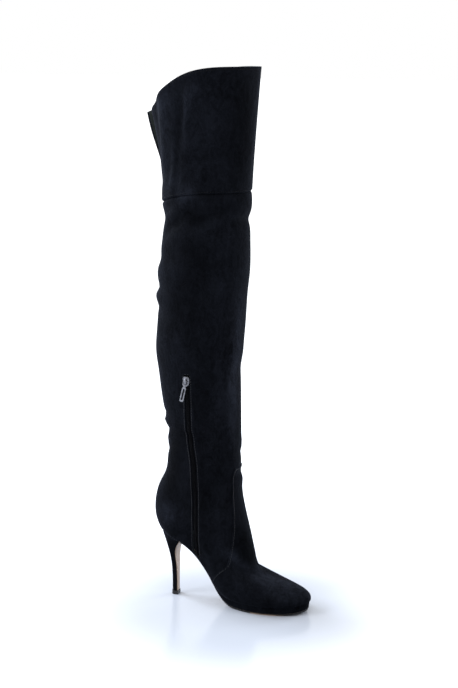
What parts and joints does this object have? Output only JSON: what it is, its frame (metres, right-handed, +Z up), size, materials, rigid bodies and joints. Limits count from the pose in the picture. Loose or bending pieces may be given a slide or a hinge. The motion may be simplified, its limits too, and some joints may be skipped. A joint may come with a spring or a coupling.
{
  "type": "over-the-knee boot",
  "caption": "Suede over-the-knee boot with a slim covered heel, low covered platform, inner side zip with swinging pull and a slit thigh band.",
  "frame": {"origin": "on the floor under the middle of the heel tip", "axes": "+X points to the toe, +Y to the outer side of the foot, +Z up the leg"},
  "size_m": [0.2358, 0.1208, 0.7097],
  "materials": {
    "suede": "napped suede, near black with a cool sheen",
    "sole_leather": "smooth nude leather, lightly waxed",
    "lining": "smooth unglazed lining leather",
    "top_piece": "hard matt rubber",
    "zip_textile": "woven tape",
    "zip_coil": "moulded coil with a slight sheen",
    "zip_metal": "polished silver-coloured metal"
  },
  "bodies": {
    "boot": {"upper": "suede", "vamp": "suede", "thigh_band": "suede", "platform": "suede", "outsole": "sole_leather", "insole": "lining", "heel": "suede", "heel_breast": "sole_leather", "heel_lift": "top_piece", "zip_tape": "zip_textile", "zip_chain": "zip_coil", "zip_slider": "zip_metal"},
    "pull": {"zip_pull": "zip_metal"}
  },
  "joints": [
    {"name": "pull_swing", "type": "hinge", "parent": "boot", "child": "pull", "pos_m": [0.03131, -0.05197, 0.31158], "axis": [0.9743, -0.0129, -0.225], "range_deg": [-165, 6]}
  ]
}
